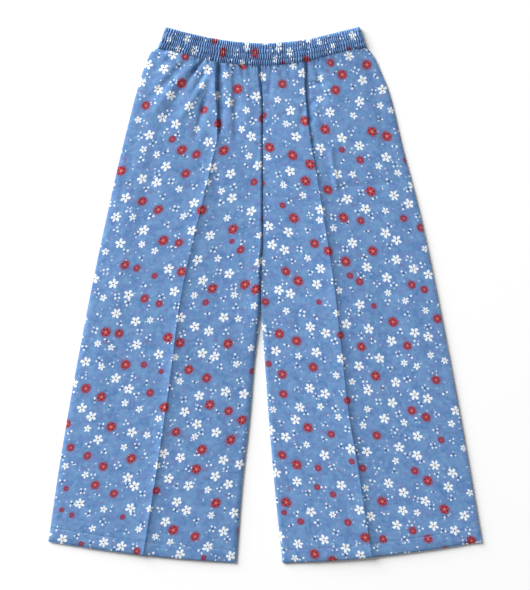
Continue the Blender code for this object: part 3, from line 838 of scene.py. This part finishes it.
def scattered(tree, vector, shift=(0.0, 0.0, 0.0)):
    """Motifs scattered in uneven rows, one in each cell: local millimetres, random colour, the middle
    of the motif counted in cells, and its number, 0.5 to 4.5, in a repeat where neighbours differ."""
    cells = add(tree, "VectorRotate", {"Vector": vector, "Angle": ROWS_TURNED}, rotation_type="Z_AXIS")[0]
    cells = add(tree, "VectorMath", {0: cells, "Scale": 1 / MOTIF_SPACING}, operation="SCALE")[0]
    cells = add(tree, "VectorMath", {0: cells, 1: shift}, operation="ADD")[0]
    nearest = add(tree, "TexVoronoi", {"Vector": cells, "Scale": 1.0, "Randomness": SCATTER},
                  voronoi_dimensions="2D")
    local = add(tree, "VectorMath", {0: cells, 1: nearest["Position"]}, operation="SUBTRACT")[0]
    local = add(tree, "VectorMath", {0: local, "Scale": MOTIF_SPACING}, operation="SCALE")[0]
    number = add(tree, "VectorMath", {0: nearest["Position"]}, operation="FLOOR")[0]
    number = add(tree, "VectorMath", {0: number, 1: (1.0, 2.0, 0.0)}, operation="DOT_PRODUCT")["Value"]
    number = add(tree, "Math", {0: number, 1: 0.5}, operation="ADD")[0]
    number = add(tree, "Math", {0: number, 1: 5.0, 2: 0.0}, operation="WRAP")[0]
    middle = add(tree, "VectorMath", {0: nearest["Position"], 1: shift}, operation="SUBTRACT")[0]
    return local, nearest["Color"], middle, number


def ring_of_petals(tree, local, count, reach, length, width):
    """All petals folded onto one: 0 in its middle and 1 at its edge. Also the distance from the eye."""
    parts = add(tree, "SeparateXYZ", {0: local})
    angle = add(tree, "Math", {0: parts["Y"], 1: parts["X"]}, operation="ARCTAN2")[0]
    half = add(tree, "Math", {0: math.pi, 1: count}, operation="DIVIDE")[0]
    minus_half = add(tree, "Math", {0: half, 1: -1.0}, operation="MULTIPLY")[0]
    folded = add(tree, "Math", {0: angle, 1: half, 2: minus_half}, operation="WRAP")[0]
    radius = add(tree, "VectorMath", {0: local}, operation="LENGTH")["Value"]
    cosine = add(tree, "Math", {0: folded}, operation="COSINE")[0]
    sine = add(tree, "Math", {0: folded}, operation="SINE")[0]
    out = add(tree, "Math", {0: radius, 1: cosine}, operation="MULTIPLY")[0]
    out = add(tree, "Math", {0: out, 1: reach}, operation="SUBTRACT")[0]
    out = add(tree, "Math", {0: out, 1: length}, operation="DIVIDE")[0]
    aside = add(tree, "Math", {0: radius, 1: sine}, operation="MULTIPLY")[0]
    aside = add(tree, "Math", {0: aside, 1: width}, operation="DIVIDE")[0]
    petal = add(tree, "CombineXYZ", {0: out, 1: aside})[0]
    return add(tree, "VectorMath", {0: petal}, operation="LENGTH")["Value"], radius


def inside(tree, value, limit, softness):
    """1 where the value is below the limit and 0 above it, with a soft printed edge between."""
    edge = {"Value": value, "From Min": limit + softness, "From Max": limit - softness}
    return add(tree, "MapRange", edge)[0]


def ground_colour(tree, vector):
    """Mottled blue, deeper and paler in clouds, with a drift towards mauve and mauve ghosts in it."""
    elsewhere = add(tree, "VectorMath", {0: vector, 1: (431.0, 887.0, 0.0)}, operation="ADD")[0]
    colour = linear(GROUND_DEEP)
    for cloud in GROUND_CLOUDS:
        noise = add(tree, "TexNoise", {
            "Vector": elsewhere if cloud.shifted else vector,
            "Scale": 1 / cloud.size,
            "Detail": cloud.detail,
            "Roughness": cloud.roughness,
        })[0]
        share = add(tree, "MapRange", {"Value": noise, "From Min": cloud.low, "From Max": cloud.high,
                                       "To Max": cloud.strength})[0]
        colour = add(tree, "Mix", {0: share, 6: colour, 7: linear(cloud.colour)}, data_type="RGBA")[2]
    return colour


def turned_at_random(tree, local, chance):
    """Each motif turned by an angle of its own."""
    turn = add(tree, "Math", {0: chance, 1: 2 * math.pi}, operation="MULTIPLY")[0]
    return add(tree, "VectorRotate", {"Vector": local, "Angle": turn}, rotation_type="Z_AXIS")[0]


def flower_petals(tree, flower, petals, shape):
    """The ring of petals of a flower of radius 1."""
    width = add(tree, "Math", {0: shape.width, 1: petals}, operation="DIVIDE")[0]
    return ring_of_petals(tree, flower, petals, shape.reach, shape.half_length, width)


def white_flower(tree, flower, petals):
    """Where a white flower is, and its colour: a dark eye with a cream rim."""
    petal, radius = flower_petals(tree, flower, petals, WHITE_SHAPE)
    share = add(tree, "Math", {0: inside(tree, petal, 1.0, 0.17), 1: inside(tree, radius, 0.37, 0.05)},
                operation="MAXIMUM")[0]
    colour = linear(PETAL_WHITE)
    for limit, softness, over in ((0.2, 0.08, FLOWER_CREAM), (0.15, 0.05, FLOWER_EYE)):
        colour = add(tree, "Mix", {0: inside(tree, radius, limit, softness), 6: colour, 7: linear(over)},
                     data_type="RGBA")[2]
    return share, colour


def red_flower(tree, flower, petals, fading):
    """Where a red flower is, its colour, and the mauve edge where its dye has spread into the blue. It
    has a deep ground of its own between the petals, and a coral heart."""
    petal, radius = flower_petals(tree, flower, petals, RED_SHAPE)
    share = add(tree, "Math", {0: inside(tree, petal, 1.0, 0.12), 1: inside(tree, radius, 0.8, 0.1)},
                operation="MAXIMUM")[0]
    bright = add(tree, "Math", {0: inside(tree, petal, 0.9, 0.2), 1: inside(tree, radius, 0.36, 0.08)},
                 operation="MAXIMUM")[0]
    faded = add(tree, "Math", {0: fading, 1: 0.8}, operation="MULTIPLY")[0]
    heart = inside(tree, radius, 0.2, 0.12)
    colour = linear(RED_DEEP)
    for layer, over in ((bright, RED_PETAL), (heart, RED_HEART), (faded, RED_FADED)):
        colour = add(tree, "Mix", {0: layer, 6: colour, 7: linear(over)}, data_type="RGBA")[2]
    spread = add(tree, "Math", {0: inside(tree, radius, 1.13, 0.22), 1: 0.75}, operation="MULTIPLY")[0]
    return share, colour, spread


def scattered_flowers(tree, hand, colour):
    """Flowers over a colour, and where they are. Each one's size, colour and number of petals are
    drawn for it."""
    local, chance, _, number = scattered(tree, hand)
    drawn = add(tree, "SeparateColor", {0: chance})
    is_red = add(tree, "Math", {0: drawn[0], 1: RED_CHANCE, 2: number}, operation="MULTIPLY_ADD")[0]
    is_red = add(tree, "Math", {0: is_red, 1: RED_BELOW}, operation="LESS_THAN")[0]
    not_red = add(tree, "Math", {0: 1.0, 1: is_red}, operation="SUBTRACT")[0]
    is_small = add(tree, "Math", {0: drawn[1], 1: 1 - SMALL_SHARE}, operation="GREATER_THAN")[0]
    white_size = add(tree, "Math", {0: is_small, 1: SMALL_FLOWER - LARGE_FLOWER, 2: LARGE_FLOWER},
                     operation="MULTIPLY_ADD")[0]
    fading = add(tree, "Math", {0: drawn[1], 1: FADING}, operation="POWER")[0]
    red_size = add(tree, "Math", {0: fading, 1: -RED_SMALLER, 2: LARGE_RED}, operation="MULTIPLY_ADD")[0]
    size = add(tree, "Mix", {0: is_red, 2: white_size, 3: red_size})[0]
    six = add(tree, "Math", {0: drawn[2], 1: 3.7}, operation="MULTIPLY")[0]
    six = add(tree, "Math", {0: six}, operation="FRACT")[0]
    six = add(tree, "Math", {0: six, 1: 1 - SIX_PETALS_SHARE}, operation="GREATER_THAN")[0]
    petals = add(tree, "Math", {0: six, 1: 5.0}, operation="ADD")[0]
    shrink = add(tree, "Math", {0: 1.0, 1: size}, operation="DIVIDE")[0]
    flower = add(tree, "VectorMath", {0: turned_at_random(tree, local, drawn[2]), "Scale": shrink},
                 operation="SCALE")[0]

    white, white_colour = white_flower(tree, flower, petals)
    red, red_colour, spread = red_flower(tree, flower, petals, fading)
    white, spread, red = (add(tree, "Math", {0: share, 1: kind}, operation="MULTIPLY")[0]
                          for share, kind in ((white, not_red), (spread, is_red), (red, is_red)))
    for layer, over in ((white, white_colour), (spread, linear(GHOST)), (red, red_colour)):
        colour = add(tree, "Mix", {0: layer, 6: colour, 7: over}, data_type="RGBA")[2]
    return colour, add(tree, "Math", {0: white, 1: red}, operation="MAXIMUM")[0]


def dot_groups(tree, vector, hand, free, colour):
    """Groups of two to four dots between the flowers, most of them with a dark speck in the middle."""
    local, chance, middle, number = scattered(tree, hand, (17.5, 41.5, 0.0))
    drawn = add(tree, "SeparateColor", {0: chance})
    clear = add(tree, "TexVoronoi", {"Vector": middle, "Scale": 1.0, "Randomness": SCATTER},
                voronoi_dimensions="2D")["Distance"]
    clear = add(tree, "Math", {0: clear, 1: CLEAR_OF_FLOWER / MOTIF_SPACING}, operation="GREATER_THAN")[0]
    clear = add(tree, "Math", {0: clear, 1: free}, operation="MULTIPLY")[0]
    count = add(tree, "Math", {0: number, 1: 0.34, 2: drawn[0]}, operation="MULTIPLY_ADD")[0]
    count = add(tree, "Math", {0: count, 1: 1.15, 2: 2.0}, operation="MULTIPLY_ADD")[0]
    count = add(tree, "Math", {0: count}, operation="FLOOR")[0]
    reach = add(tree, "Math", {0: count, 1: DOTS_APART, 2: DOTS_REACH}, operation="MULTIPLY_ADD")[0]
    turned = turned_at_random(tree, local, drawn[2])
    dot, radius = ring_of_petals(tree, turned, count, reach, DOT, DOT)
    unlike = add(tree, "TexNoise", {"Vector": vector, "Scale": 1 / UNEVEN_DOTS, "Detail": 0.0})[0]
    unlike = add(tree, "MapRange", {"Value": unlike, "From Min": 0.3, "From Max": 0.7, "To Min": -0.35,
                                    "To Max": 0.45})[0]
    dot = add(tree, "Math", {0: dot, 1: unlike}, operation="SUBTRACT")[0]
    dots = add(tree, "Math", {0: inside(tree, dot, 1.0, 0.3), 1: clear}, operation="MULTIPLY")[0]
    has_speck = add(tree, "Math", {0: drawn[1], 1: 1 - SPECK_SHARE}, operation="GREATER_THAN")[0]
    speck = add(tree, "Math", {0: inside(tree, radius, 1.25, 0.5), 1: clear}, operation="MULTIPLY")[0]
    speck = add(tree, "Math", {0: speck, 1: has_speck}, operation="MULTIPLY")[0]
    for layer, over in ((dots, PETAL_WHITE), (speck, SPECK)):
        colour = add(tree, "Mix", {0: layer, 6: colour, 7: linear(over)}, data_type="RGBA")[2]
    return colour


def sprinkled(tree, vector, free, colour):
    """Single pale dots, fainter than the groups, on some of the places of a loose grid."""
    place = add(tree, "TexVoronoi", {"Vector": vector, "Scale": 1 / SPRINKLE_SPACING, "Randomness": 0.9},
                voronoi_dimensions="2D")
    apart = add(tree, "Math", {0: place["Distance"], 1: SPRINKLE_SPACING}, operation="MULTIPLY")[0]
    drawn = add(tree, "SeparateColor", {0: place["Color"]})
    chosen = add(tree, "Math", {0: drawn[0], 1: SPRINKLE_SHARE}, operation="LESS_THAN")[0]
    strength = add(tree, "Math", {0: drawn[1], 1: 0.5, 2: 0.3}, operation="MULTIPLY_ADD")[0]
    strength = add(tree, "Math", {0: strength, 1: chosen}, operation="MULTIPLY")[0]
    dot = add(tree, "Math", {0: inside(tree, apart, SPRINKLE, 0.35), 1: strength}, operation="MULTIPLY")[0]
    dot = add(tree, "Math", {0: dot, 1: free}, operation="MULTIPLY")[0]
    return add(tree, "Mix", {0: dot, 6: colour, 7: linear(PETAL_WHITE)}, data_type="RGBA")[2]


def ditsy_print(tree, vector):
    """The colour of the printed cotton. The motifs waver a little, as if drawn by hand."""
    waver = add(tree, "TexNoise", {"Vector": vector, "Scale": 1 / WAVER_LENGTH, "Detail": 2.0,
                                    "Roughness": 0.7})["Color"]
    hand = add(tree, "VectorMath", {0: waver, 1: (0.5, 0.5, 0.5)}, operation="SUBTRACT")[0]
    hand = add(tree, "VectorMath", {0: hand, 1: (WAVER, WAVER, 0.0), 2: vector},
               operation="MULTIPLY_ADD")[0]
    colour, flowers = scattered_flowers(tree, hand, ground_colour(tree, vector))
    free = add(tree, "Math", {0: flowers, 1: 0.05}, operation="LESS_THAN")[0]
    colour = dot_groups(tree, vector, hand, free, colour)
    return sprinkled(tree, hand, free, colour)


WAVE_LENGTH = math.pi / 10  # of Blender's wave texture at a scale of 1
WEAVE = 1.753  # millimetres; real threads 0.35 apart are too fine to show, so they are five times coarser
SLUBS = 2.0
WEAVE_RELIEF = 0.12
THREAD_TWIST = 0.698  # millimetres from one turn of a sewing thread to the next


def plain_weave(tree, vector, strength):
    """Bump of crossing threads, with the small slubs of spun cotton."""
    warp, weft = (add(tree, "TexWave", {
        "Vector": vector,
        "Scale": WAVE_LENGTH / WEAVE,
        "Distortion": 0.6,
        "Detail": 1.0,
    }, bands_direction=direction)[1] for direction in "XY")
    threads = add(tree, "Math", {0: warp, 1: weft}, operation="MAXIMUM")[0]
    slubs = add(tree, "TexNoise", {"Vector": vector, "Scale": 1 / SLUBS, "Detail": 3.0})[0]
    height = add(tree, "Math", {0: slubs, 1: 0.8, 2: threads}, operation="MULTIPLY_ADD")[0]
    return add(tree, "Bump", {"Strength": strength, "Distance": WEAVE_RELIEF * MM, "Height": height})[0]


def printed_cotton(name, wrong_side=False):
    """Plain-weave cotton with a ditsy print: matt, with a faint soft sheen from its fibres. On the
    wrong side the print shows through paler."""
    material = bpy.data.materials.new(name)
    material.use_nodes = True
    tree = material.node_tree
    tree.nodes.clear()
    cloth = add(tree, "UVMap", uv_map="Cloth")[0]
    vector = add(tree, "VectorMath", {0: cloth, "Scale": 1 / MM}, operation="SCALE")[0]
    colour = ditsy_print(tree, vector)
    if wrong_side:
        colour = add(tree, "Mix", {0: 0.55, 6: colour, 7: linear(WRONG_SIDE_PALE)}, data_type="RGBA")[2]
    shader = add(tree, "BsdfPrincipled", {
        "Base Color": colour,
        "Roughness": 0.82,
        "Specular IOR Level": 0.25,
        "Sheen Weight": 0.12,
        "Sheen Roughness": 0.5,
        "Normal": plain_weave(tree, vector, 0.35),
    })
    add(tree, "OutputMaterial", {"Surface": shader[0]})
    return material


def polyester_thread(name, hex_colour):
    """Spun polyester sewing thread: smoother than the cloth, with a slight shine along its twist that is
    painted into its colour as paler bands.
    """
    material = bpy.data.materials.new(name)
    material.use_nodes = True
    tree = material.node_tree
    tree.nodes.clear()
    place = add(tree, "TexCoord")["Object"]
    twist = add(tree, "TexWave", {"Vector": place, "Scale": 2 * WAVE_LENGTH / (THREAD_TWIST * MM),
                                  "Distortion": 0.4}, bands_direction="DIAGONAL")[1]
    # painted highlight: paler bands along the twist stand in for the light the thread catches
    painted_shine = add(tree, "MapRange", {"Value": twist, "To Min": 0.0, "To Max": 0.3})[0]
    colour = add(tree, "Mix", {0: painted_shine, 6: linear(hex_colour), 7: linear("#FFFFFF")}, data_type="RGBA")[2]
    shader = add(tree, "BsdfPrincipled", {"Base Color": colour, "Roughness": 0.55})
    add(tree, "OutputMaterial", {"Surface": shader[0]})
    return material


# ---------------------------------------------------------------- pieces
def column_shares(counts):
    """Where the columns of a panel lie: 0 at the inseam, 1 on the crease and 2 at the side seam."""
    return np.concatenate([close_at_ends(counts[0]), 1 + close_at_ends(counts[1])[1:]])


def hem_line(shell):
    """The line of stitching along a hem, on the outer side of a panel."""
    line = []
    for column in shell.outer[:, ARC_STEPS // 2:-ARC_STEPS // 2].swapaxes(0, 1):
        down = column[-1, 1] - HEM_STITCH
        line.append([np.interp(down, column[:, 1], column[:, k]) for k in range(3)])
    return np.array(line)


def leg_pieces(leg, materials, thread):
    """The front and the back panel of a leg with the stitching of their hems."""
    plan = LegPlan(leg)
    for part, facing, surface, stretches, counts in (
            ("front", 1, front_surface, FRONT_STRETCHES, FRONT_COLUMNS),
            ("back", -1, back_surface, BACK_STRETCHES, BACK_COLUMNS)):
        node = f"{part}_{leg.name}_leg"
        rows = graded(stretches)
        shell = panel_shell(plan, rows, column_shares(counts), surface, facing, CUT_AT[node])
        panel = shell_object(f"{node}_cloth", shell, materials, inner_step=2)
        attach(panel, "root")
        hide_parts(node)
        sewing = stitches(f"{node}_hem_stitches", [(hem_line(shell), facing)], thread)
        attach(sewing, "root")


def waistband_pieces(materials, thread):
    """The gathered casing and the rows of stitching through its elastic."""
    shell = waistband_shell(CUT_AT["waistband"])
    band = shell_object("waistband_casing", shell, materials, inner_step=10, closed=True)
    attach(band, "root")
    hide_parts("waistband")
    front_end = BAND_RIBS * RIB_COLUMNS + 1
    back_start = front_end + 2 * ARC_STEPS - 1
    back_end = back_start + BAND_RIBS * BACK_RIB_COLUMNS + 1
    lines = []
    for share in SEWN_AT:
        row = shell.outer[round(BAND_ROWS * share)]
        lines += [(row[4:front_end - 4], 1), (row[back_start + 4:back_end - 4], -1)]
    sewing = stitches("waistband_elastic_stitches", lines, thread)
    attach(sewing, "root")


def build():
    cotton = [printed_cotton("printed_cotton"), printed_cotton("printed_cotton_wrong_side", True)]
    thread = polyester_thread("blue_sewing_thread", THREAD_BLUE)
    for leg in (RIGHT_LEG, LEFT_LEG):
        leg_pieces(leg, cotton, thread)
    waistband_pieces(cotton, thread)


# ---------------------------------------------------------------- floor, light and camera
FRAME_HEIGHT = 590 * 1.6 * MM  # the photograph is 590 pixels high, at 1.6 mm each
CAMERA_HEIGHT = 3.0
SENSOR = 0.036


def studio():
    scene = bpy.context.scene
    scene.view_settings.view_transform = "Standard"
    bpy.ops.mesh.primitive_plane_add(size=12.0, location=(0.0, 0.0, -0.0003))
    floor = bpy.context.object
    floor.name = "studio_floor"
    paper = bpy.data.materials.new("white_paper")
    paper.use_nodes = True
    paper.node_tree.nodes["Principled BSDF"].inputs["Base Color"].default_value = linear("#FDFDFD")
    paper.node_tree.nodes["Principled BSDF"].inputs["Roughness"].default_value = 0.9
    paper.node_tree.nodes["Principled BSDF"].inputs["Specular IOR Level"].default_value = 0.1
    floor.data.materials.append(paper)

    world = bpy.data.worlds.new("soft_room")
    world.use_nodes = True
    world.node_tree.nodes["Background"].inputs["Color"].default_value = (1.0, 1.0, 1.0, 1.0)
    world.node_tree.nodes["Background"].inputs["Strength"].default_value = 0.27
    scene.world = world

    # A wide softbox off to the upper left. It is far enough away that its light falls off only a
    # little towards the lower right.
    softbox = bpy.data.lights.new("softbox", "AREA")
    softbox.shape = "DISK"
    softbox.size = 14.5
    softbox.energy = 8420.0
    lamp = bpy.data.objects.new("softbox", softbox)
    lamp.location = (-13.0, 11.9, 7.12)
    lamp.rotation_euler = (-lamp.location).to_track_quat("-Z", "Y").to_euler()
    scene.collection.objects.link(lamp)

    camera = bpy.data.objects.new("camera", bpy.data.cameras.new("camera"))
    camera.data.sensor_fit = "VERTICAL"
    camera.data.sensor_height = SENSOR * 1000
    camera.data.lens = SENSOR * 1000 * CAMERA_HEIGHT / FRAME_HEIGHT
    camera.location = (0.0, 0.0, CAMERA_HEIGHT)
    scene.collection.objects.link(camera)
    scene.camera = camera


build()
studio()
